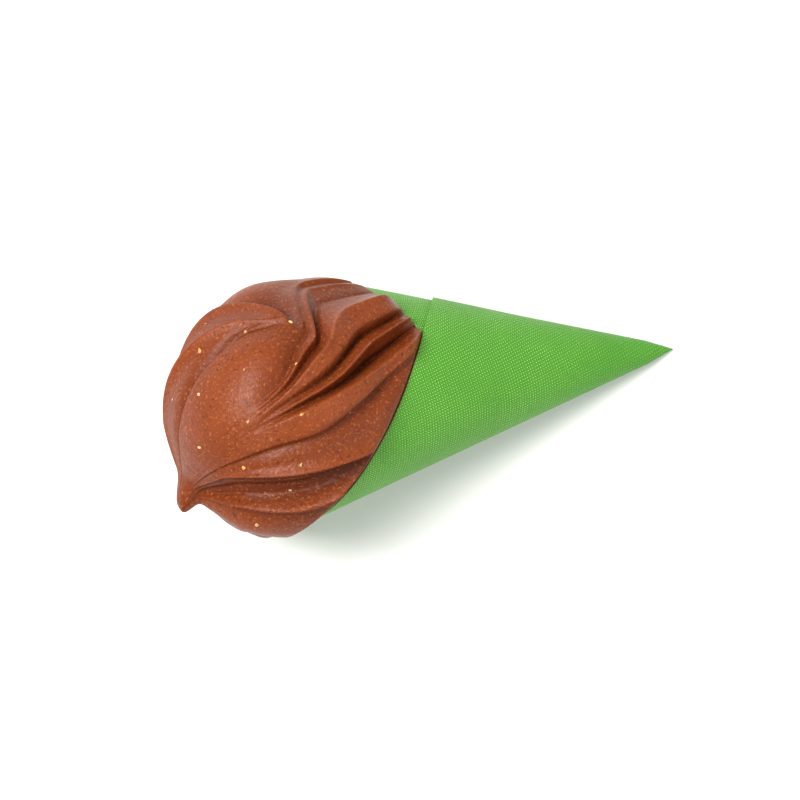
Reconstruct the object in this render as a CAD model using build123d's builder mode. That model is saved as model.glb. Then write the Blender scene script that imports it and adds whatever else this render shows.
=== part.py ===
"""A paper cornet of piped chocolate cream, lying on its side.

One sheet of linen-embossed paper is rolled one and a half times into a cone, whose outer lap is
held by a strip of adhesive and peels open. The cream fills the cone and ends in a star-piped
rosette with a bent tail and crumbs of hazelnut in its surface. The filled cone pulls out of the
paper along the cone's axis.

Frame: +Z up, the cone's tip towards +X, its axis in a plane of constant Y. The paper's flattened
underside lies on Z = 0, and the origin is under the middle of the bounding box. Millimetres and
degrees throughout.
"""

from build123d import *
from math import atan, atan2, cos, degrees, pi, radians, sin, sqrt, tan
import os

# Cone of paper
HALF_ANGLE = 16.9  # between the cone's axis and its side
PAPER = 0.16  # thickness of the sheet
LAP_GAP = 0.10  # between the two turns, where the adhesive is
FLAT_HALF = 13.5  # half the turn over which the underside is pressed flat
FLAT_SPARE = 0.02  # drawn below it and cut away
TIP_START = 0.4  # distance of the inner turn from the point of the cone
LAP_TIP_START = 4.0  # the same for the outer turn

# Blank: an ellipse, cut along two straight edges that meet in the cone's point
BLANK_LONG = 54.5  # semi-axis along the blank's middle line
BLANK_WIDE = 36.5  # semi-axis across it
BLANK_OFFSET = 15.5  # from the cone's point to the ellipse's centre
BLANK_SPREAD = 170.0  # angle between the straight edges
BLANK_MIDDLE_TURN = 210.0  # turn angle at which the blank's middle line lies on the cone

# Lap that peels
FOLD_TURN = 390.0  # turn angle of the fold that the lap swings on
FOLD_GAP = 0.15  # left open at the fold, in degrees of turn
STRIP_TURNS = (470.0, 488.0)  # adhesive strip, between these turn angles
STRIP_SLANTS = (8.0, 26.0)  # and these distances from the point
STRIP_MARGIN = 0.02  # between the strip and each turn of paper

# Cream
CREAM_GAP = 0.05  # between the cream and the paper
CREAM_MARGIN = 0.05  # more of it along the rosette, for its facets' bulges
FILLING_END = 40.0  # along the axis, where the filling stops and the rosette starts
FILLING_POINT = 1.4  # along the axis, the filling's own point
BALL_CENTRE = 59.5  # along the axis, centre of the rosette's round part
BALL_OFFSET = -0.9  # from the axis, sideways
BALL_RADIUS = 18.5
POLE = (0.87, 0.12, -0.47)  # where the flutes meet, as shares along axis, top and side
FLUTES = 11
FLUTE_POINTS = 6  # corners on each flute's outline
TAIL_SIDE = (0.0, -0.25, -0.97)  # the way the tail bends, as shares along axis, top and side

# Hazelnut crumbs
CRUMBS = 34  # places tried, less those that would be against the paper
CRUMB = 0.9  # length of the largest

# Place of the cone's point, which puts the origin under the middle of the bounding box
TIP_X = 38.112
TIP_Y = 1.262

LEAN = degrees(atan(tan(radians(HALF_ANGLE)) * cos(radians(FLAT_HALF))))  # of the axis, lying down
AXIS = Vector(-cos(radians(LEAN)), 0, sin(radians(LEAN)))  # from the point towards the rosette
TOP = Vector(sin(radians(LEAN)), 0, cos(radians(LEAN)))  # square to the axis, upwards
SIDE = Vector(0, 1, 0)


def radial(turn):
    """Unit vector away from the axis at a turn angle, which is 0 on top and grows towards +Y."""
    return TOP * cos(radians(turn)) + SIDE * sin(radians(turn))


def wall_point(slant, height):
    """(along the axis, away from it) of a point on the cone, raised by height from its inside."""
    a = radians(HALF_ANGLE)
    return slant * cos(a) - height * sin(a), slant * sin(a) + height * cos(a)


# The flattened underside's outer face is at Z = 0, which sets how high the point lies.
a, lean = radians(HALF_ANGLE), radians(LEAN)
FLAT_THICKNESS = PAPER * (cos(a) * cos(radians(FLAT_HALF)) * cos(lean) + sin(a) * sin(lean))
TIP = Vector(TIP_X, TIP_Y, FLAT_THICKNESS)


def placed(turn, slant, height):
    """A point of the cone's wall in the part's own frame."""
    along, away = wall_point(slant, height)
    return TIP + AXIS * along + radial(turn) * away


def section_plane(turn):
    """The half plane through the axis at a turn angle: x along the axis, y away from it."""
    return Plane(origin=TIP, x_dir=AXIS, z_dir=AXIS.cross(radial(turn)))


def blank_edge(turn):
    """Distance from the cone's point to the blank's curved edge, at a turn angle."""
    away = radians((turn - BLANK_MIDDLE_TURN) * sin(radians(HALF_ANGLE)))
    long, wide = cos(away) / BLANK_LONG, sin(away) / BLANK_WIDE
    share = BLANK_OFFSET / BLANK_LONG
    square = long * long + wide * wide
    return (long * share + sqrt((long * share) ** 2 - square * (share * share - 1))) / square


def eased(turn, start, end):
    """0 before start and 1 after end, with a smooth rise between."""
    t = min(1.0, max(0.0, (turn - start) / (end - start)))
    return t * t * (3 - 2 * t)


HALF_TURNS = BLANK_SPREAD / 2 / sin(radians(HALF_ANGLE))  # the blank's half, in degrees of turn
FIRST_TURN = BLANK_MIDDLE_TURN - HALF_TURNS
LAST_TURN = BLANK_MIDDLE_TURN + HALF_TURNS
FLAT_START, FLAT_END = 180 - FLAT_HALF, 180 + FLAT_HALF
STEP_END = FIRST_TURN + 350  # by here the outer turn has risen over the inner one


def wall_section(turn):
    """The sheet's outline in section_plane(turn): four corners, from its inside to its outside."""
    rise = eased(turn, FLAT_END, STEP_END)
    start = TIP_START + rise * (LAP_TIP_START - TIP_START)
    inside = rise * (PAPER + LAP_GAP)
    end = blank_edge(turn)
    outside = inside + PAPER + (FLAT_SPARE if turn in (FLAT_START, FLAT_END) else 0)
    return [
        wall_point(start, inside),
        wall_point(end, inside),
        wall_point(end, outside),
        wall_point(start, outside),
    ]


def cut_below(level):
    """Cuts away what the open part has below a height."""
    size = 200.0
    with Locations((0, 0, level - size / 2)):
        Box(size, size, size, mode=Mode.SUBTRACT)


def turns(start, end, most=5.0):
    """Turn angles from start to end, evenly spaced and at most that far apart."""
    count = int((end - start) / most) + 1
    return [start + (end - start) * i / count for i in range(count + 1)]


# The rolled sheet up to the fold. It has no section inside the flattened underside, so that the two
# sections at its edges have one flat wall between them, which is then cut level with Z = 0.
with BuildPart() as paper_cone:
    for turn in turns(FIRST_TURN, FLAT_START) + turns(FLAT_END, FOLD_TURN):
        with BuildSketch(section_plane(turn)):
            Polygon(*wall_section(turn), align=None)
    loft(ruled=True)
    cut_below(0)

# The lap, from the fold to the sheet's free edge.
with BuildPart() as paper_lap:
    for turn in turns(FOLD_TURN + FOLD_GAP, LAST_TURN):
        with BuildSketch(section_plane(turn)):
            Polygon(*wall_section(turn), align=None)
    loft(ruled=True)

# The adhesive strip under the lap's free edge.
with BuildPart() as adhesive_strip:
    for turn in turns(*STRIP_TURNS, most=6.0):
        low, high = PAPER + STRIP_MARGIN, PAPER + LAP_GAP - STRIP_MARGIN
        near, far = STRIP_SLANTS
        corners = ((near, low), (far, low), (far, high), (near, high))
        with BuildSketch(section_plane(turn)):
            Polygon(*[wall_point(slant, height) for slant, height in corners], align=None)
    loft()


def cream_radius(along):
    """Radius of the space inside the paper, less the gap, at a distance along the axis."""
    return along * tan(a) - CREAM_GAP / cos(a)


# The cream inside the cone.
with BuildPart() as cream_filling:
    with BuildSketch(section_plane(0)):
        Polygon(
            (FILLING_POINT, 0),
            (FILLING_POINT, cream_radius(FILLING_POINT)),
            (FILLING_END, cream_radius(FILLING_END)),
            (FILLING_END, 0),
            align=None,
        )
    revolve(axis=Axis(TIP, AXIS))
    cut_below(FLAT_THICKNESS + CREAM_GAP)

# The rosette: fluted sections from the filling's end, tilting over to the pole where the flutes meet.
POLE_WAY = (AXIS * POLE[0] + TOP * POLE[1] + SIDE * POLE[2]).normalized()
TAIL_WAY = (AXIS * TAIL_SIDE[0] + TOP * TAIL_SIDE[1] + SIDE * TAIL_SIDE[2]).normalized()
BALL = TIP + AXIS * BALL_CENTRE + SIDE * BALL_OFFSET


def paper_edge(turn):
    """Distance from the cone's point to the end of the paper on one side of the axis."""
    laps = [turn + lap for lap in (-360, 0, 360, 720) if FIRST_TURN <= turn + lap <= LAST_TURN]
    return max(blank_edge(lap) for lap in laps)


def room(point):
    """How far inside the paper a point is, or inside the room past its end, which widens."""
    offset = point - TIP
    along = offset.dot(AXIS)
    away = (offset - AXIS * along).length
    past = Vector(along, away).length - paper_edge(degrees(atan2(offset.dot(SIDE), offset.dot(TOP)))) - 1.0
    return cream_radius(along) - CREAM_MARGIN + max(0, past) - away


def fluted_outline(plane, radius, depth, twist):
    """Points round a closed fluted outline on a plane, drawn in where they would meet the paper.

    depth is the flutes' share of radius, twist turns the outline about the plane's normal.
    """
    points = []
    for i in range(FLUTES * FLUTE_POINTS):
        angle = 2 * pi * i / (FLUTES * FLUTE_POINTS)
        reach = radius * (1 + depth * cos(FLUTES * angle))
        way = Vector(cos(angle + radians(twist)), sin(angle + radians(twist)))
        while room(plane.from_local_coords(way * reach)) < 0:
            reach *= 0.995
        points.append((way.X * reach, way.Y * reach))
    return points


# Each section is its centre, the way it faces, its radius, its flutes' depth and its twist.
sections = []
for step in range(8):
    along = FILLING_END + 2.8 * step
    lean_over = 0.8 * eased(along, 44.0, 60.0)
    way = (AXIS * (1 - lean_over) + POLE_WAY * lean_over).normalized()
    depth = 0.05 * eased(along, FILLING_END, 56.0)
    sections.append((TIP + AXIS * along, way, cream_radius(min(along, 59.0)), depth, 0))
for height in (4.5, 7.0, 9.5, 11.5, 13.3, 14.8, 16.0, 17.0):
    radius = sqrt(BALL_RADIUS**2 - height**2)
    sections.append((BALL + POLE_WAY * height, POLE_WAY, radius, 0.06, 60 * (height / BALL_RADIUS) ** 2))
for height, bend, radius in ((18.2, 0.2, 4.6), (19.3, 0.8, 3.2), (20.4, 1.9, 2.2), (21.2, 3.4, 1.6), (21.6, 5.0, 0.8)):
    way = (POLE_WAY * 2 + TAIL_WAY * bend / 2).normalized()
    sections.append((BALL + POLE_WAY * height + TAIL_WAY * bend, way, radius, 0.06, 60))

with BuildPart() as cream_rosette:
    for centre, way, radius, depth, twist in sections:
        plane = Plane(origin=centre, x_dir=TOP - way * TOP.dot(way), z_dir=way)
        with BuildSketch(plane):
            Polygon(*fluted_outline(plane, radius, depth, twist), align=None)
    loft(ruled=True)
    cut_below(FLAT_THICKNESS + CREAM_GAP)

# Crumbs of hazelnut, half sunk in the crests of the rosette's flutes, each in its own pocket.
with BuildPart() as hazelnut_crumbs:
    plane = Plane(origin=BALL, x_dir=TOP - POLE_WAY * TOP.dot(POLE_WAY), z_dir=POLE_WAY)
    for i in range(CRUMBS):
        height = 0.35 + 0.55 * (i + 0.5) / CRUMBS
        angle = radians(360 / FLUTES * ((i * 4) % FLUTES) + 60 * height**2)
        flat = sqrt(1 - height * height) * 1.05
        way = plane.x_dir * (flat * cos(angle)) + plane.y_dir * (flat * sin(angle)) + POLE_WAY * height
        size = CRUMB * (0.65 + 0.35 * ((i * 7) % 5) / 4)
        spot = Plane(origin=BALL + way * BALL_RADIUS, z_dir=way).rotated((0, 0, 40 * i))
        if room(spot.origin) > size:
            with Locations(spot):
                Box(size, 0.75 * size, 0.6 * size)

with cream_rosette:
    add(hazelnut_crumbs.part, mode=Mode.SUBTRACT)

os.makedirs("parts", exist_ok=True)
PIECES = {
    "paper_cone": paper_cone,
    "paper_lap": paper_lap,
    "adhesive_strip": adhesive_strip,
    "cream_filling": cream_filling,
    "cream_rosette": cream_rosette,
    "hazelnut_crumbs": hazelnut_crumbs,
}
for name, piece in PIECES.items():
    piece.part.label = name
    export_step(piece.part, f"parts/{name}.step")

whole = Compound(children=[piece.part for piece in PIECES.values()]).bounding_box()
print("bounding box", whole.min, whole.max, "centre", whole.center())
print("axis", AXIS, "point", TIP)
hinge_end, hinge_start = placed(FOLD_TURN, 30, 2 * PAPER + LAP_GAP), placed(FOLD_TURN, 10, 2 * PAPER + LAP_GAP)
print("fold from", hinge_start, "way", (hinge_start - hinge_end).normalized())
print("turns", FIRST_TURN, LAST_TURN, "lean", LEAN, "flat edge", blank_edge(FLAT_START), blank_edge(FLAT_END))
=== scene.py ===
"""Looks of the paper cornet of piped chocolate cream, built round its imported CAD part.

Lengths are in millimetres until a mesh is made, and "turn" is an angle round the cone's axis, 0 on top
and growing towards +Y, as in the part's own source.
"""

import math

import bmesh
import bpy
import numpy as np
from mathutils import Matrix, Vector


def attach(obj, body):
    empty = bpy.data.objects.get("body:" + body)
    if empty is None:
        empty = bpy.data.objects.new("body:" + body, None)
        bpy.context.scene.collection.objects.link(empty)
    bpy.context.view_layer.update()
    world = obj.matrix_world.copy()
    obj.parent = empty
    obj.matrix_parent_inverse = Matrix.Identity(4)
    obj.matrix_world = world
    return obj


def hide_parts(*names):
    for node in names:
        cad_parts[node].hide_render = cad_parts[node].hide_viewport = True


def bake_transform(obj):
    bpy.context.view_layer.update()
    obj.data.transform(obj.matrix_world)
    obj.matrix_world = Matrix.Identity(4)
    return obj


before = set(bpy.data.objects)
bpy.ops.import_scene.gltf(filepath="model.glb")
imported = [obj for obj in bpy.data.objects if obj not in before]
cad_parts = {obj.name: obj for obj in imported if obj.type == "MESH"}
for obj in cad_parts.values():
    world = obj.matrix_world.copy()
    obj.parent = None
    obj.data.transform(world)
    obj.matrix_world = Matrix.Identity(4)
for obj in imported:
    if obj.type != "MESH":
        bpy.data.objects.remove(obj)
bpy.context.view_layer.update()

MM = 0.001  # Blender's metres in a millimetre

# ------------------------------------------------------------------ the cone, as in the CAD part

HALF_ANGLE = math.radians(16.9)
PAPER = 0.16  # thickness of the sheet
LAP_GAP = 0.10  # between its two turns
FLAT_HALF = 13.5  # half the turn over which the underside is pressed flat
TIP_START = 0.15  # distance of the sheet from the point of the cone
# The sheet is an ellipse, cut along two straight edges that meet in the cone's point.
BLANK_LONG = 54.5  # semi-axis along the sheet's middle line
BLANK_WIDE = 36.5  # semi-axis across it
BLANK_OFFSET = 15.5  # from the cone's point to the ellipse's centre
BLANK_SPREAD = 170.0  # angle between the straight edges
MIDDLE_TURN = 210.0  # turn at which the sheet's middle line lies
FOLD_TURN = 390.0  # turn of the fold that the lap swings on
CREAM_GAP = 0.05  # between the cream and the paper
TIP_X, TIP_Y = 38.112, 1.262  # place of the cone's point
HALF_TURNS = BLANK_SPREAD / 2 / math.sin(HALF_ANGLE)
FIRST_TURN, LAST_TURN = MIDDLE_TURN - HALF_TURNS, MIDDLE_TURN + HALF_TURNS
FLAT_END = 180 + FLAT_HALF
STEP_END = FIRST_TURN + 350  # turn by which the second turn has risen over the first

LEAN = math.atan(math.tan(HALF_ANGLE) * math.cos(math.radians(FLAT_HALF)))
AXIS = np.array([-math.cos(LEAN), 0, math.sin(LEAN)])
TOP = np.array([math.sin(LEAN), 0, math.cos(LEAN)])
SIDE = np.array([0.0, 1.0, 0.0])
FLAT_THICKNESS = PAPER * (
    math.cos(HALF_ANGLE) * math.cos(math.radians(FLAT_HALF)) * math.cos(LEAN)
    + math.sin(HALF_ANGLE) * math.sin(LEAN)
)
TIP = np.array([TIP_X, TIP_Y, FLAT_THICKNESS])


def eased(x, start, end):
    """0 before start and 1 after end, with a smooth rise between. Works on arrays."""
    t = np.clip((x - start) / (end - start), 0, 1)
    return t * t * (3 - 2 * t)


def blank_edge(turn):
    """Distance from the cone's point to the sheet's curved edge."""
    away = np.radians((turn - MIDDLE_TURN) * math.sin(HALF_ANGLE))
    long, wide = np.cos(away) / BLANK_LONG, np.sin(away) / BLANK_WIDE
    share = BLANK_OFFSET / BLANK_LONG
    square = long * long + wide * wide
    return (long * share + np.sqrt((long * share) ** 2 - square * (share * share - 1))) / square


def paper_edge(turn):
    """Distance from the cone's point to the end of the paper on one side of the axis."""
    best = np.zeros_like(turn)
    for lap in (-360, 0, 360, 720):
        inside = (turn + lap >= FIRST_TURN) & (turn + lap <= LAST_TURN)
        best = np.where(inside, np.maximum(best, blank_edge(turn + lap)), best)
    return best


def inner_edge(turn):
    """Distance from the cone's point to the end of the inner turn of the paper."""
    first = (turn - FIRST_TURN) % 360 + FIRST_TURN
    return blank_edge(first)


def radial(turn):
    """Unit vectors away from the axis."""
    t = np.radians(turn)[..., None]
    return TOP * np.cos(t) + SIDE * np.sin(t)


def cone_point(turn, slant, height):
    """Points of the paper, raised by height from its inside, with the underside pressed flat."""
    # The press shows as a smaller half angle between the two edges of the flat.
    side = np.abs(turn % 360 - 180)
    first_lap = turn < FLAT_END + 1e-6
    flat = np.where((side < FLAT_HALF) & first_lap, 1.0, 0.0)
    gamma = np.where(flat > 0, np.arctan(math.tan(LEAN) / np.cos(np.radians(side))), HALF_ANGLE)
    drop = np.abs(-math.sin(LEAN) * np.sin(gamma) - math.cos(LEAN) * np.cos(np.radians(side)) * np.cos(gamma))
    height = np.where(flat > 0, height / PAPER * FLAT_THICKNESS / drop, height)
    along = slant * np.cos(gamma) - height * np.sin(gamma)
    away = slant * np.sin(gamma) + height * np.cos(gamma)
    return TIP + AXIS * along[..., None] + radial(turn) * away[..., None]


def cream_radius(along):
    """Radius of the space inside the paper at a distance along the axis."""
    return along * math.tan(HALF_ANGLE) - CREAM_GAP / math.cos(HALF_ANGLE)


# ------------------------------------------------------------------ mesh helpers


def mesh_from(name, points, faces, uvs=None):
    """A smooth-shaded object from points in millimetres. uvs is one pair for each point."""
    mesh = bpy.data.meshes.new(name)
    mesh.from_pydata((points * MM).tolist(), [], faces)
    mesh.validate()
    if uvs is not None:
        layer = mesh.uv_layers.new(name="UVMap")
        index = np.zeros(len(mesh.loops), np.int32)
        mesh.loops.foreach_get("vertex_index", index)
        layer.data.foreach_set("uv", uvs[index].astype(np.float32).ravel())
    mesh.polygons.foreach_set("use_smooth", [True] * len(mesh.polygons))
    obj = bpy.data.objects.new(name, mesh)
    bpy.context.scene.collection.objects.link(obj)
    return obj


def grid_faces(rows, cols, start=0, closed=False, flip=False):
    """Quads of a grid of points that is stored row after row."""
    i, j = np.meshgrid(np.arange(rows - 1), np.arange(cols if closed else cols - 1), indexing="ij")
    a, b = i * cols + j, i * cols + (j + 1) % cols
    c, d = (i + 1) * cols + (j + 1) % cols, (i + 1) * cols + j
    quads = np.stack([a, b, c, d], -1).reshape(-1, 4) + start
    return (quads[:, ::-1] if flip else quads).tolist()


# ------------------------------------------------------------------ paper

LIFT = 0.12  # how far the outer turn springs open at its lip
LIFT_REACH = 16  # and how far in from the lip that starts
THIN_REACH = 5.0  # from the point, over which the sheet is squeezed thin
WAVE = 0.10  # how far a hand-rolled sheet strays from a round cone
SHEET_UNIT = 100  # millimetres of flat sheet in one unit of its map
ROW_CROWDING = 0.85  # under 1 puts the rows of points closer together towards the lip


def loosened(turn, slant):
    """How far the outer turn stands off the inner one, more towards its lip, where it springs open."""
    near_lip = eased(slant, blank_edge(turn) - LIFT_REACH, blank_edge(turn) + 1)
    return LIFT * near_lip * eased(turn, 380, 430) * (1 - 0.5 * eased(turn, 470, LAST_TURN))


def paper_piece(name, first, last, columns, rows):
    """One part of the sheet as a closed skin: outside, inside and the cut edges round it."""
    turn = np.linspace(first, last, columns)[None, :] * np.ones((rows, 1))
    share = (np.linspace(0, 1, rows) ** ROW_CROWDING)[:, None]
    rise = eased(turn, FLAT_END, STEP_END)
    slant = TIP_START + share * (blank_edge(turn) - TIP_START)
    # Towards its point the sheet is squeezed thin, so that both turns end in one sharp tip.
    thin = np.minimum(1, slant / THIN_REACH)
    thickness = PAPER * thin
    inside = rise * (PAPER + LAP_GAP) * thin + loosened(turn, slant)
    # A hand-rolled sheet isn't quite round.
    wave = WAVE * np.sin(np.radians(3 * turn) + slant * 0.09)
    inside = inside + np.abs(wave * eased(slant, 15, 50) * eased(turn, STEP_END, STEP_END + 30))
    skins = [cone_point(turn, slant, inside + thickness), cone_point(turn, slant, inside)]
    psi = np.radians(turn) * math.sin(HALF_ANGLE)
    flat = np.stack([slant * np.cos(psi), slant * np.sin(psi)], -1) / SHEET_UNIT + 0.5
    n = rows * columns
    points = np.concatenate([s.reshape(-1, 3) for s in skins])
    uvs = np.concatenate([flat.reshape(-1, 2)] * 2)
    faces = grid_faces(rows, columns, 0) + grid_faces(rows, columns, n, flip=True)
    ring = (
        list(range(columns))
        + [i * columns + columns - 1 for i in range(1, rows)]
        + [(rows - 1) * columns + j for j in range(columns - 2, -1, -1)]
        + [i * columns for i in range(rows - 2, 0, -1)]
    )
    rim = [[a, a + n, b + n, b] for a, b in zip(ring, ring[1:] + ring[:1])]
    # The cut edges get their own points, so that they stay crisp.
    extra = list(dict.fromkeys(corner for quad in rim for corner in quad))
    own = {corner: len(points) + count for count, corner in enumerate(extra)}
    crisp = [[own[corner] for corner in quad] for quad in rim]
    points = np.concatenate([points, points[extra]])
    uvs = np.concatenate([uvs, uvs[extra]])
    obj = mesh_from(name, points, faces + crisp, uvs)
    material_index = [0] * (len(faces) // 2) + [1] * (len(faces) // 2) + [2] * len(crisp)
    obj.data.polygons.foreach_set("material_index", material_index)
    return obj


DENSE = 2
PAPER_ROWS = 60 * DENSE
paper_main = paper_piece("paper_main", FIRST_TURN, FOLD_TURN, 170 * DENSE, PAPER_ROWS)
paper_flap = paper_piece("paper_flap", FOLD_TURN, LAST_TURN, 50 * DENSE, PAPER_ROWS)

# ------------------------------------------------------------------ cream

BALL_ALONG, BALL_ASIDE = 59.5, -1.5  # centre of the rosette's round part, along the axis and beside it
BALL_RADIUS = 18.0
BALL = TIP + AXIS * BALL_ALONG + SIDE * BALL_ASIDE
# The pole is where the piping ended and the tail stands out.
POLE = 0.87 * AXIS - 0.05 * TOP - 0.47 * SIDE
POLE = POLE / np.linalg.norm(POLE)
POLE_X = np.array([0, 0, 1.0]) - POLE * POLE[2]
POLE_X = POLE_X / np.linalg.norm(POLE_X)
POLE_Y = np.cross(POLE, POLE_X)
EGG = 2.0  # how much further than its radius the ball reaches at the pole
PEAK = 1.9  # how far the tail stands out
PEAK_BEND = np.array([-0.6, -2.7, -0.2])  # how far its very tip is bent over
CREAM_MARGIN = 0.05  # more room between the cream and the paper
CREAM_FLOOR = 0.22  # height of the cream's underside over the table
ROSETTE_END, FILLING_END = 39.6, 40.2  # along the axis; the rosette starts a little inside the filling
FILLING_POINT = 1.4  # along the axis, the filling's own point

# The rosette's folds run from the pole to the paper's lip. Each is a ridge or a groove with a roundness, 1
# for a round crest or hollow and 0 for a crease, then its angle round the pole and its height over the ball
# at each of the stations, which are angles from the pole. They are in order round the pole.
STATIONS = np.array([30.0, 60.0, 80.0, 100.0, 125.0])
FOLDS = [
    # the lobe at the very top, and the hollow beside it
    (0.9, (116, 108, 102, 89, 80), (0.5, 0.8, 1.0, 1.3, 0.0)),
    (1.0, (100, 83, 66, 56, 72), (0.3, -0.2, -0.2, -0.7, 0.0)),
    # a thin ridge, a crease and the broad middle
    (0.2, (91, 67, 54, 38, 38), (1.0, 1.7, 1.4, -0.2, -0.3)),
    (0.0, (56, 50, 48, 37, 37), (-0.8, -1.5, -0.9, -0.3, -0.3)),
    (0.3, (50, 47, 44, 35, 35), (0.5, 0.6, 0.2, -0.4, -0.3)),
    (1.0, (24, 27, 30, 31, 31), (0.5, 1.0, 0.9, -0.5, -0.4)),
    # four ridges that fan out to the lip, with their grooves and faces
    (0.3, (14, 11, 13, 25, 26), (0.4, 0.6, -0.7, -1.1, -0.8)),
    (0.15, (12, 9, 11, 19, 22), (0.4, 0.6, 0.9, 1.0, -0.2)),
    (0.4, (10, 8, 9, 16, 21), (0.4, 0.5, -0.8, -1.5, -1.3)),
    (0.15, (7, 6, 7, 12, 18), (0.3, 0.7, 1.6, 2.0, 1.8)),
    (1.0, (6, 5, 5, 7, 15), (0.3, 0.6, 1.0, 1.3, 1.2)),
    (0.1, (5, 4, 3, 3, 11), (0.3, 0.5, -0.6, -1.5, -1.8)),
    (0.15, (4, 2, 0, -1, 4), (0.3, 0.4, 0.9, 1.5, 1.7)),
    (0.1, (3, 1, -2, -5, -4), (0.3, 0.3, -1.6, -2.6, -3.2)),
    (0.2, (2, 0, -4, -7, -9), (0.2, 0.6, 1.8, 2.1, 2.0)),
    (1.0, (0, -3, -11, -13, -13), (0.2, 0.6, 1.5, 1.6, 1.4)),
    # the long straight fold and the flat face under it
    (0.1, (-3, -10, -16, -16, -15), (0.4, 0.6, 0.9, 0.9, 0.6)),
    (0.4, (-5, -12, -18, -18, -17), (-0.1, -0.5, -0.5, -0.5, -0.3)),
    (1.0, (-9, -20, -26, -28, -28), (0.1, 0.1, 0.1, 0.2, 0.2)),
    # the two ridges near the bottom with the deep crevice between them
    (0.15, (-12, -27, -34, -40, -43), (0.8, 1.5, 1.6, 1.4, 0.6)),
    (0.3, (-16, -31, -37, -42, -45), (-0.7, -1.4, -1.3, -0.6, -0.1)),
    (0.6, (-20, -35, -40, -43, -46), (-0.6, -1.2, -1.2, -0.6, -0.1)),
    (0.3, (-29, -41, -43, -45, -47), (-2.0, -2.8, -2.4, -0.6, -0.1)),
    (0.8, (-39, -47, -47, -46, -48), (-1.6, -2.2, -1.7, 0.0, -0.1)),
    (0.3, (-43, -50, -50, -47, -49), (0.9, 1.6, 1.5, 0.5, 0.1)),
    (0.4, (-49, -56, -54, -51, -53), (-0.4, -0.7, -0.5, -0.2, -0.1)),
    (1.0, (-76, -82, -82, -81, -80), (1.4, 0.7, 0.0, -0.3, -0.3)),
]
# The folds of the far side and the underside are alike, and each leans round the pole as it rises.
LEANING = np.array([11, 6, 3, 0, -4])


def far_fold(place, ridge):
    """A ridge or groove of the far side at an angle round the pole, which fades out towards the pole."""
    height = 1.2 if ridge else -0.9
    roundness = 0.8 if ridge else 0.0
    return (roundness, tuple(place + LEANING), (0.6 * height, height, height, height, 0.4 * height))


for count, place in enumerate(range(-103, -130, -13)):
    FOLDS.append(far_fold(place, count % 2 == 1))
for count, place in enumerate(range(131, 235, 13)):
    FOLDS.insert(0, far_fold(place, count % 2 == 1))

# The fold that arches over the broad middle is a quarter of an ellipse: a rim with a step down outside it.
ARCH_STEPS = 18
ARCH_RIM, ARCH_DROP = 1.4, 2.3
ARCH = [
    (40 + 62 * math.cos(angle), 25 + 73 * math.sin(angle))
    for angle in np.linspace(0, math.pi / 2, ARCH_STEPS + 1)
]
# Near the lip the upper folds gather towards its corner, at this angle round the pole.
GATHER = 70


def along_fold(lam, values):
    """A fold's values at angles from the pole, on a smooth curve through those at the stations."""
    values = np.array(values, float)
    slopes = np.gradient(values, STATIONS)
    lam = np.clip(lam, STATIONS[0], STATIONS[-1])
    k = np.clip(np.searchsorted(STATIONS, lam, side="right") - 1, 0, len(STATIONS) - 2)
    gap = STATIONS[k + 1] - STATIONS[k]
    t = (lam - STATIONS[k]) / gap
    rise = 3 * t**2 - 2 * t**3
    bend = (t**3 - 2 * t**2 + t) * slopes[k] + (t**3 - t**2) * slopes[k + 1]
    return values[k] + (values[k + 1] - values[k]) * rise + bend * gap


def fold_turn(lam, places):
    """A fold's angle round the pole."""
    turn = along_fold(lam, places)
    gathered = eased(np.float64(places[3]), 8, 24) * (1 - eased(np.float64(places[3]), 56, 80))
    return turn + (GATHER - turn) * gathered * eased(lam, 102, 124)


def arch_height(lam, phi):
    """Height of the arching rim and the step outside it."""
    across, up = (phi + 60) % 360 * np.sin(np.radians(lam)), lam
    nearest = np.full_like(lam, 1e9)
    side = np.ones_like(lam)
    place = np.zeros_like(lam)
    corners = [((p + 60) * math.sin(math.radians(l)), l) for l, p in ARCH]
    for i, ((x0, y0), (x1, y1)) in enumerate(zip(corners, corners[1:])):
        dx, dy = x1 - x0, y1 - y0
        t = ((across - x0) * dx + (up - y0) * dy) / (dx * dx + dy * dy)
        held = np.clip(t, 0, 1)
        away = np.hypot(across - x0 - held * dx, up - y0 - held * dy)
        closer = away < nearest
        left = dx * (up - y0) - dy * (across - x0)
        side = np.where(closer, np.where(left > 0, 1, -1), side)
        place = np.where(closer, i + held, place)
        nearest = np.where(closer, away, nearest)
    gap = nearest * side * math.radians(BALL_RADIUS)
    rim = ARCH_RIM * np.exp(-((np.abs(np.minimum(gap, 0)) / 1.3) ** 1.3))
    drop = -ARCH_DROP * np.exp(-((np.maximum(gap, 0) / 2.8) ** 1.4))
    share = eased(gap, -0.15, 0.45)
    ends = eased(place, 0.6, 3.6) * (1 - eased(place, 9.8, ARCH_STEPS))
    return (rim * (1 - share) + drop * share) * ends


def room(points):
    """How far inside the paper points are, or inside the room past its end, which widens."""
    offset = points - TIP
    along = offset @ AXIS
    away = np.linalg.norm(offset - along[..., None] * AXIS, axis=-1)
    turn = np.degrees(np.arctan2(offset @ SIDE, offset @ TOP))
    slant = np.hypot(along, away)
    # Past the lip it widens fast on the upper +Y side and slowly on the lower -Y side.
    widening = 0.80 + 0.75 * np.cos(np.radians(turn - 60))
    past = np.maximum(0, slant - paper_edge(turn) - 0.1) * widening
    between = (PAPER + LAP_GAP + 0.06) * eased(slant, inner_edge(turn) - 0.3, inner_edge(turn) + 0.8)
    inside = cream_radius(along) - CREAM_MARGIN + between + past - away
    return np.minimum(inside, points[..., 2] - CREAM_FLOOR)


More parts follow.
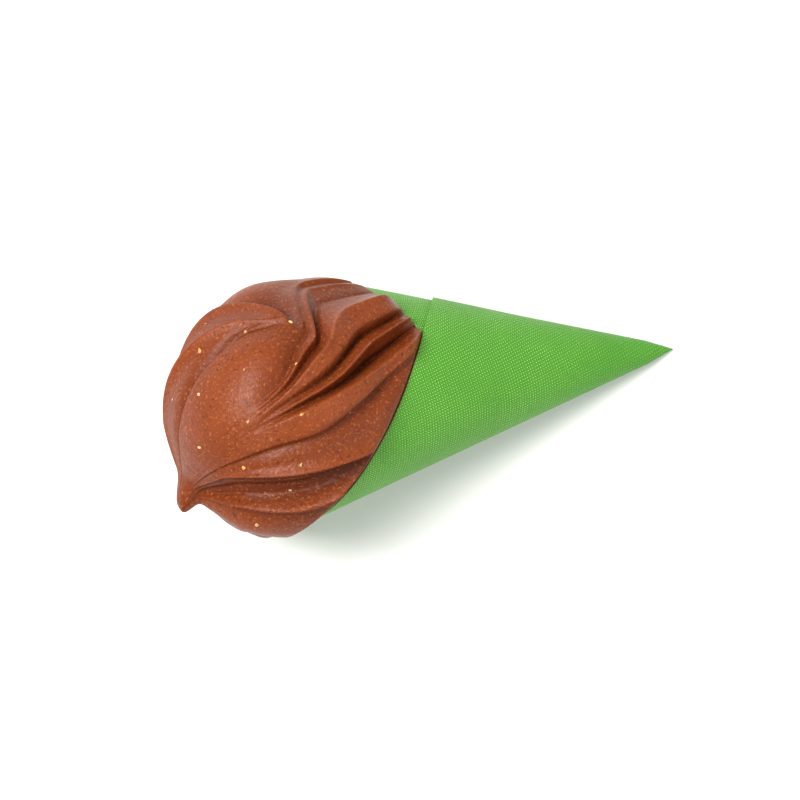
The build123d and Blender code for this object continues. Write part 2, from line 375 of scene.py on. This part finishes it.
def lip_angles():
    """The paper's lip as seen from the ball: angle round the pole, angle from it and distance, in order."""
    turn = np.arange(-180, 180, 3.0)
    slant = paper_edge(turn)
    offset = TIP + AXIS * (slant * math.cos(HALF_ANGLE))[:, None] - BALL
    offset = offset + radial(turn) * (slant * math.sin(HALF_ANGLE))[:, None]
    far = np.linalg.norm(offset, axis=-1)
    lam = np.degrees(np.arccos(offset @ POLE / far))
    phi = np.degrees(np.arctan2(offset @ POLE_Y, offset @ POLE_X))
    order = np.argsort(phi)
    return phi[order], lam[order], far[order]


LIP = lip_angles()


def fold_height(lam, phi):
    """Height of the folds over the ball, in directions by angles round the pole."""
    turns = [fold_turn(lam, places) for _, places, _ in FOLDS]
    heights = [along_fold(lam, values) for _, _, values in FOLDS]
    rounds = [roundness for roundness, _, _ in FOLDS]
    # The first line comes again a full turn below the last one.
    turns.append(turns[0] - 360)
    heights.append(heights[0])
    rounds.append(rounds[0])
    phi = (phi - turns[0]) % -360 + turns[0]
    height = 0 * lam
    for i in range(len(FOLDS)):
        gap = np.maximum(turns[i] - turns[i + 1], 1e-3)
        t = (turns[i] - phi) / gap
        here = (t >= 0) & (t < 1)
        t = np.clip(t, 0, 1)
        first, last = 2.4 * (1 - rounds[i]), 2.4 * (1 - rounds[i + 1])
        rise = (t**3 - 2 * t**2 + t) * first + 3 * t**2 - 2 * t**3 + (t**3 - t**2) * last
        height = np.where(here, heights[i] + (heights[i + 1] - heights[i]) * rise, height)
    scale = np.minimum(1, np.sin(np.radians(lam)) / math.sin(math.radians(28)))
    return (height + arch_height(lam, phi)) * scale


def cream_reach(lam, phi):
    """Distance from the ball's centre to the cream's surface."""
    # Towards the lip the folds die away and the surface swells or draws in to meet the paper.
    lip_turn, lip_lam, lip_far = LIP
    lip = np.interp(phi, lip_turn, lip_lam, period=360)
    far = np.interp(phi, lip_turn, lip_far, period=360)
    near = eased(lam, lip - 34, lip + 2)
    calm = 1 - 0.8 * eased(lam, lip - 12, lip)
    egg = EGG * np.maximum(0, np.cos(np.radians(lam))) ** 1.4
    # Inside the cone it fills all the room there is.
    deep = 8 * eased(lam, lip + 1, lip + 22)
    swell = near * np.maximum(0, far + 0.5 - BALL_RADIUS)
    return BALL_RADIUS + egg + deep + fold_height(lam, phi) * calm + swell


def directions(lam, phi):
    """Unit vectors at angles from the pole and round it."""
    l, p = np.radians(lam)[..., None], np.radians(phi)[..., None]
    return POLE * np.cos(l) + (POLE_X * np.cos(p) + POLE_Y * np.sin(p)) * np.sin(l)


def cream_point(lam, phi):
    """Points of the rosette's surface: the folded ball, drawn in by the paper and the table, with a tail."""
    way = directions(lam, phi)
    high = cream_reach(lam, phi)
    low = np.zeros_like(high)
    fits = room(BALL + way * high[..., None]) >= 0
    top = high.copy()
    for step in range(22):
        middle = (low + top) / 2
        good = room(BALL + way * middle[..., None]) >= 0
        low = np.where(good, middle, low)
        top = np.where(good, top, middle)
    reach = np.where(fits, high, low)
    peak = np.exp(-((lam / 5.6) ** 3)) * 0.70 + np.exp(-((lam / 12.0) ** 2)) * 0.30
    reach = reach + PEAK * peak
    return BALL + way * reach[..., None] + PEAK_BEND * (peak**1.1)[..., None]


def last_angle(phi):
    """Angle from the pole at which the rosette's surface reaches the filling's end."""
    low, high = np.full_like(phi, 90.0), np.full_like(phi, 175.0)
    for step in range(20):
        middle = (low + high) / 2
        along = (cream_point(middle, phi) - TIP) @ AXIS
        low = np.where(along > ROSETTE_END, middle, low)
        high = np.where(along > ROSETTE_END, high, middle)
    return low


# The side with the fine folds gets the closest points. Twice as many as are kept are worked out each way,
# and blurred a little before every second one is left out, so that no crest comes out jagged.
rows, cols = ((250, 390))
FIRST_ANGLE = 0.25  # from the pole, of the first row of points
fine_phi = np.interp(np.linspace(0, 1, 2 * cols, endpoint=False), [0, 0.72, 1], [-80, 110, 280])
share = np.linspace(0.0, 1, 2 * rows - 1) ** 1.25
fine_lam = FIRST_ANGLE + share[:, None] * (last_angle(fine_phi)[None, :] - FIRST_ANGLE)
fine_phi = fine_phi[None, :] * np.ones((2 * rows - 1, 1))


def blurred(grid):
    """Every second row and column of a grid closed along its rows, each blurred with its neighbours."""
    weights = (1 / 16, 4 / 16, 6 / 16, 4 / 16, 1 / 16)
    padded = np.concatenate([grid[:1], grid[:1], grid, grid[-1:], grid[-1:]])
    grid = sum(w * padded[k : k + len(grid)] for k, w in enumerate(weights))
    grid = sum(w * np.roll(grid, 2 - k, 1) for k, w in enumerate(weights))
    return grid[::2, ::2]



def closed_skin(name, skin, flip=False):
    """An object from a grid of points closed along its rows, with a fan of faces over its first row."""
    rows, cols = skin.shape[:2]
    points = np.concatenate([skin.reshape(-1, 3), skin[0].mean(0)[None]])
    faces = grid_faces(rows, cols, closed=True, flip=flip)
    fan = [[j, len(points) - 1, (j + 1) % cols] for j in range(cols)]
    faces += [face[::-1] for face in fan] if flip else fan
    return mesh_from(name, points, faces)


def set_crest_painted_light(piece, values):
    """Tells the cream's material how far each point stands out, 0 for a hollow and 1 for a crest; the
    material paints the crests paler as painted light and the hollows darker as painted shade.
    """
    made = piece.data.attributes.new("crest", "FLOAT", "POINT")
    made.data.foreach_set("value", values.astype(np.float32))


rosette = closed_skin("rosette", blurred(cream_point(fine_lam, fine_phi)))
# Painted light and shade: the cream is painted paler on its crests and darker in its hollows, by how far each
# point stands out.
crest = blurred(fold_height(fine_lam, fine_phi)).ravel()
set_crest_painted_light(rosette, np.append(np.clip((crest + 1.2) / 2.8, 0, 1), 0.5))

# The filling is a plain cone, flat underneath, with a small gap to the paper.
cone_rows, cone_cols = 60, 160
along = np.linspace(FILLING_POINT, FILLING_END, cone_rows)[:, None] * np.ones((1, cone_cols))
turn = np.linspace(0, 360, cone_cols, endpoint=False)[None, :] * np.ones((cone_rows, 1))
away = cream_radius(along) - 0.03
skin = TIP + AXIS * along[..., None] + radial(turn) * away[..., None]
skin[..., 2] = np.maximum(skin[..., 2], CREAM_FLOOR)
filling = closed_skin("filling", skin, flip=True)
set_crest_painted_light(filling, np.full(len(filling.data.vertices), 0.5))

# ------------------------------------------------------------------ hazelnut crumbs

random = np.random.default_rng(7)
CRUMB_POINTS = 42  # on the ball that each grain is chipped from
CRUMB_CHIPS = 9


def crumb(centre, normal, size):
    """Points of a chipped grain, as a ball cut by random planes and pressed flatter, lying on a normal."""
    n = normal / np.linalg.norm(normal)
    x = np.cross(n, [0.3, 0.5, 0.8])
    x /= np.linalg.norm(x)
    y = np.cross(n, x)
    spin = random.uniform(0, 2 * math.pi)
    x, y = x * math.cos(spin) + y * math.sin(spin), -x * math.sin(spin) + y * math.cos(spin)
    i = np.arange(CRUMB_POINTS) + 0.5
    lat = np.arccos(1 - 2 * i / CRUMB_POINTS)
    lon = np.pi * (1 + 5**0.5) * i
    ball = np.stack([np.sin(lat) * np.cos(lon), np.sin(lat) * np.sin(lon), np.cos(lat)], -1)
    for chip in range(CRUMB_CHIPS):
        way = random.normal(size=3)
        way /= np.linalg.norm(way)
        depth = random.uniform(0.45, 0.8)
        over = np.maximum(0, ball @ way - depth)
        ball = ball - over[:, None] * way
    ball = ball * np.array([size, size * random.uniform(0.6, 0.9), size * random.uniform(0.35, 0.55)]) * 0.5
    return centre + ball[:, :1] * x + ball[:, 1:2] * y + ball[:, 2:] * n


def surface_frame(lam, phi):
    """A point of the rosette's surface and the unit normal there."""
    step = 0.4
    a, b, c = cream_point(np.array([lam, lam + step, lam]), np.array([phi, phi, phi + step]))
    normal = np.cross(b - a, c - a)
    return a, normal / np.linalg.norm(normal)


CRUMB_COUNT = 46
GOLDEN_ANGLE = 180 * (3 - 5**0.5)
# Each is an angle from the pole, an angle round it and a size. They are strewn evenly, but not on the tail.
CRUMBS = []
for i in range(CRUMB_COUNT):
    spread = math.degrees(math.acos(0.88 - 1.15 * (i + 0.5) / CRUMB_COUNT))
    CRUMBS.append((spread, (i * GOLDEN_ANGLE + 20) % 360, random.uniform(0.4, 1.0)))

bag = bmesh.new()
for lam, phi, size in CRUMBS:
    place, normal = surface_frame(lam, phi)
    # Grains against the paper are left out.
    if room(place + normal * 0.3) < 0.15:
        continue
    corners = [bag.verts.new(v) for v in crumb(place - normal * size * 0.05, normal, size) * MM]
    bmesh.ops.convex_hull(bag, input=corners)
loose = [v for v in bag.verts if not v.link_faces]
bmesh.ops.delete(bag, geom=loose, context="VERTS")
bmesh.ops.recalc_face_normals(bag, faces=bag.faces)
mesh = bpy.data.meshes.new("crumbs")
bag.to_mesh(mesh)
bag.free()
crumbs = bpy.data.objects.new("crumbs", mesh)
bpy.context.scene.collection.objects.link(crumbs)

# ------------------------------------------------------------------ materials


THREAD_ACROSS, THREAD_UP = 0.44, 0.46  # pitch of the linen, in millimetres
EMBOSS = 0.00004  # depth of the linen in metres, before a sheet's own strength


def new_material(name):
    material = bpy.data.materials.new(name)
    material.use_nodes = True
    tree = material.node_tree
    return material, tree, tree.nodes["Principled BSDF"]


def maths(tree, operation, first, second=None):
    """One operation on sockets or numbers."""
    made = tree.nodes.new("ShaderNodeMath")
    made.operation = operation
    for socket, value in zip(made.inputs, (first, second)):
        if value is None:
            continue
        if isinstance(value, (int, float)):
            socket.default_value = value
        else:
            tree.links.new(value, socket)
    return made.outputs[0]


def mixed(tree, factor, first, second):
    """Mixes two colours, given as linear RGB or as sockets, by a factor socket or number."""
    made = tree.nodes.new("ShaderNodeMix")
    made.data_type = "RGBA"
    for socket, value in ((made.inputs[0], factor), (made.inputs[6], first), (made.inputs[7], second)):
        if isinstance(value, (int, float)):
            socket.default_value = value
        elif isinstance(value, tuple):
            socket.default_value = (*value, 1)
        else:
            tree.links.new(value, socket)
    return made.outputs[2]


def ramp(tree, value, low, high):
    """0 to 1 as a socket's value goes from low to high."""
    made = tree.nodes.new("ShaderNodeMapRange")
    made.inputs["From Min"].default_value = low
    made.inputs["From Max"].default_value = high
    tree.links.new(value, made.inputs["Value"])
    return made.outputs["Result"]


def noise(tree, vector, scale, detail=2.0, rough=0.5):
    made = tree.nodes.new("ShaderNodeTexNoise")
    made.inputs["Scale"].default_value = scale
    made.inputs["Detail"].default_value = detail
    made.inputs["Roughness"].default_value = rough
    tree.links.new(vector, made.inputs["Vector"])
    return made.outputs["Fac"]


def bump(tree, height, distance, strength=1.0, normal=None):
    made = tree.nodes.new("ShaderNodeBump")
    made.inputs["Strength"].default_value = strength
    made.inputs["Distance"].default_value = distance
    tree.links.new(height, made.inputs["Height"])
    if normal is not None:
        tree.links.new(normal, made.inputs["Normal"])
    return made.outputs["Normal"]


def linen_paper(name, base, painted_glint, strength):
    """Green paper with linen pressed into it, and a painted highlight on the linen's dots. Its map is the
    flat sheet, with its point in the middle.
    """
    material, tree, skin = new_material(name)
    coordinates = tree.nodes.new("ShaderNodeTexCoord")
    uv = coordinates.outputs["UV"]
    wander = noise(tree, uv, 60.0, 1.0)
    split = tree.nodes.new("ShaderNodeSeparateXYZ")
    turned = tree.nodes.new("ShaderNodeMapping")
    turned.inputs["Rotation"].default_value = (0, 0, math.radians(2))
    tree.links.new(uv, turned.inputs["Vector"])
    tree.links.new(turned.outputs[0], split.inputs[0])
    nudge = maths(tree, "MULTIPLY", wander, 0.0022)
    across = maths(tree, "ADD", split.outputs[0], nudge)
    up = maths(tree, "ADD", split.outputs[1], nudge)
    warp = maths(tree, "COSINE", maths(tree, "MULTIPLY", across, 2 * math.pi * SHEET_UNIT / THREAD_ACROSS))
    weft = maths(tree, "COSINE", maths(tree, "MULTIPLY", up, 2 * math.pi * SHEET_UNIT / THREAD_UP))
    both = maths(tree, "MULTIPLY", maths(tree, "MULTIPLY", warp, weft), 0.4)
    weave = maths(tree, "ADD", maths(tree, "MULTIPLY", maths(tree, "ADD", warp, weft), 0.30), both)
    dots = ramp(tree, weave, 0.25, 0.95)
    cloud = noise(tree, uv, 9.0, 2.0)
    # The painted glints on the linen's dots show less near the cone's point and in patches.
    reach = tree.nodes.new("ShaderNodeVectorMath")
    reach.operation = "DISTANCE"
    reach.inputs[1].default_value = (0.5, 0.5, 0)
    tree.links.new(uv, reach.inputs[0])
    painted_glint_share = maths(tree, "MULTIPLY", ramp(tree, reach.outputs["Value"], 0.04, 0.28), 0.55)
    patches = maths(tree, "MULTIPLY", ramp(tree, noise(tree, uv, 22.0, 2.0), 0.35, 0.65), 0.25)
    painted_glint_share = maths(tree, "ADD", maths(tree, "ADD", painted_glint_share, 0.25), patches)
    # Painted highlight: the linen's dots are painted in a paler glint colour.
    colour = mixed(tree, maths(tree, "MULTIPLY", dots, painted_glint_share), base, painted_glint)
    darker = tuple(0.75 * c for c in base)
    colour = mixed(tree, maths(tree, "MULTIPLY", ramp(tree, cloud, 0.35, 0.7), 0.18), colour, darker)
    tree.links.new(colour, skin.inputs["Base Color"])
    tree.links.new(bump(tree, weave, EMBOSS * strength), skin.inputs["Normal"])
    skin.inputs["Roughness"].default_value = 0.50
    skin.inputs["Specular IOR Level"].default_value = 0.22
    return material


def chocolate_cream():
    """Cream with a soft gloss, painted paler on its crests and darker in its hollows as painted light and
    shade, with fine dark grains and fine pale specks painted as glints.
    """
    material, tree, skin = new_material("chocolate_cream")
    spot = tree.nodes.new("ShaderNodeTexCoord").outputs["Object"]
    broad = noise(tree, spot, 160.0, 3.0)
    crest = tree.nodes.new("ShaderNodeAttribute")
    crest.attribute_name = "crest"
    # Painted light and shade: darker colour in the hollows, paler colour on the crests.
    colour = mixed(tree, crest.outputs["Fac"], (0.125, 0.024, 0.0060), (0.240, 0.050, 0.0110))
    patches = maths(tree, "MULTIPLY", ramp(tree, broad, 0.35, 0.65), 0.45)
    colour = mixed(tree, patches, colour, (0.155, 0.026, 0.0045))
    # Painted highlight: fine pale orange specks are painted on as glints of the cream.
    pale = maths(tree, "MULTIPLY", ramp(tree, noise(tree, spot, 2300.0, 3.0, 0.65), 0.56, 0.72), 0.6)
    colour = mixed(tree, pale, colour, (0.50, 0.16, 0.045))
    dark = maths(tree, "MULTIPLY", ramp(tree, noise(tree, spot, 1700.0, 3.0, 0.6), 0.58, 0.70), 0.7)
    colour = mixed(tree, dark, colour, (0.065, 0.012, 0.005))
    tree.links.new(colour, skin.inputs["Base Color"])
    relief = bump(tree, noise(tree, spot, 420.0, 3.0, 0.55), 0.00035, 0.55)
    grain = noise(tree, spot, 1300.0, 4.0, 0.7)
    tree.links.new(bump(tree, grain, 0.00014, 0.9, relief), skin.inputs["Normal"])
    skin.inputs["Roughness"].default_value = 0.36
    skin.inputs["Specular IOR Level"].default_value = 0.19
    skin.inputs["Subsurface Weight"].default_value = 0.08
    skin.inputs["Subsurface Radius"].default_value = (1.0, 0.35, 0.2)
    skin.inputs["Subsurface Scale"].default_value = 0.0006
    return material


def hazelnut():
    """Roasted nut in two tones."""
    material, tree, skin = new_material("hazelnut")
    spot = tree.nodes.new("ShaderNodeTexCoord").outputs["Object"]
    tones = ramp(tree, noise(tree, spot, 900.0, 2.0), 0.4, 0.6)
    tree.links.new(mixed(tree, tones, (0.55, 0.30, 0.09), (0.72, 0.47, 0.20)), skin.inputs["Base Color"])
    skin.inputs["Roughness"].default_value = 0.45
    return material


def plain(name, colour, roughness):
    material, tree, skin = new_material(name)
    skin.inputs["Base Color"].default_value = (*colour, 1)
    skin.inputs["Roughness"].default_value = roughness
    return material


# The second colour of each paper is the painted glint colour of its linen's dots, a painted highlight.
outside = linen_paper("green_linen_paper", (0.078, 0.32, 0.026), (0.46, 0.92, 0.15), 3.0)
inside = linen_paper("green_paper_back", (0.11, 0.40, 0.05), (0.20, 0.52, 0.09), 0.5)
edge = plain("green_paper_edge", (0.30, 0.52, 0.20), 0.8)
cream = chocolate_cream()
nut = hazelnut()
glue = plain("dried_adhesive", (0.75, 0.72, 0.58), 0.3)

for piece in (paper_main, paper_flap):
    for material in (outside, inside, edge):
        piece.data.materials.append(material)
for piece in (rosette, filling):
    piece.data.materials.append(cream)
crumbs.data.materials.append(nut)
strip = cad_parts["adhesive_strip"]
strip.data.materials.clear()
strip.data.materials.append(glue)

# ------------------------------------------------------------------ what rides on what

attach(paper_main, "wrapper")
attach(rosette, "confection")
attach(filling, "confection")
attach(crumbs, "confection")
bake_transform(paper_flap)
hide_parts("paper_cone")
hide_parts("paper_lap")
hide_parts("cream_rosette")
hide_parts("cream_filling")
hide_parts("hazelnut_crumbs")

# ------------------------------------------------------------------ camera, floor and light

camera_data = bpy.data.cameras.new("camera")
camera = bpy.data.objects.new("camera", camera_data)
bpy.context.scene.collection.objects.link(camera)
DISTANCE = 510.0  # height of the camera over the table
SENSOR = 36
VIEW_WIDTH, VIEW_REACH = 120, 500  # how wide a stretch the picture shows, and how far from the camera
ROLL = math.radians(-7)
AIM_X, AIM_Y = -4.35, -1.39
camera_data.sensor_width = SENSOR
camera_data.lens = SENSOR * VIEW_REACH / VIEW_WIDTH
camera_data.clip_start = 0.01
camera_data.clip_end = 10
eye = Vector((AIM_X, AIM_Y, DISTANCE)) * MM
camera.matrix_world = Matrix.Translation(eye) @ Matrix.Rotation(ROLL, 4, "Z")
bpy.context.scene.camera = camera

FLOOR_HALF = 2.0
FLOOR_LEVEL = -0.0002  # a little under the paper, so that their faces don't coincide
floor_corners = [
    (x * FLOOR_HALF, y * FLOOR_HALF, FLOOR_LEVEL) for x, y in ((-1, -1), (1, -1), (1, 1), (-1, 1))
]
floor_mesh = bpy.data.meshes.new("floor")
floor_mesh.from_pydata(floor_corners, [], [(0, 1, 2, 3)])
floor = bpy.data.objects.new("floor", floor_mesh)
bpy.context.scene.collection.objects.link(floor)
floor_mesh.materials.append(plain("white_floor", (0.9, 0.9, 0.9), 0.9))


LIT = Vector((-0.01, 0, 0.015))  # where both lamps point


def area_light(name, place, size, power, colour=(1, 1, 1)):
    data = bpy.data.lights.new(name, "AREA")
    data.size = size
    data.energy = power
    data.color = colour
    lamp = bpy.data.objects.new(name, data)
    lamp.location = place
    lamp.rotation_euler = (LIT - Vector(place)).to_track_quat("-Z", "Y").to_euler()
    bpy.context.scene.collection.objects.link(lamp)


area_light("key", (-0.22, 0.12, 0.48), 0.24, 3.9, (1.0, 0.98, 0.95))
area_light("fill", (0.35, -0.25, 0.40), 0.40, 0.8)
world = bpy.data.worlds.new("world")
bpy.context.scene.world = world
world.use_nodes = True
background = world.node_tree.nodes["Background"]
background.inputs["Color"].default_value = (1, 1, 1, 1)
background.inputs["Strength"].default_value = 0.54
bpy.context.scene.view_settings.view_transform = "Standard"
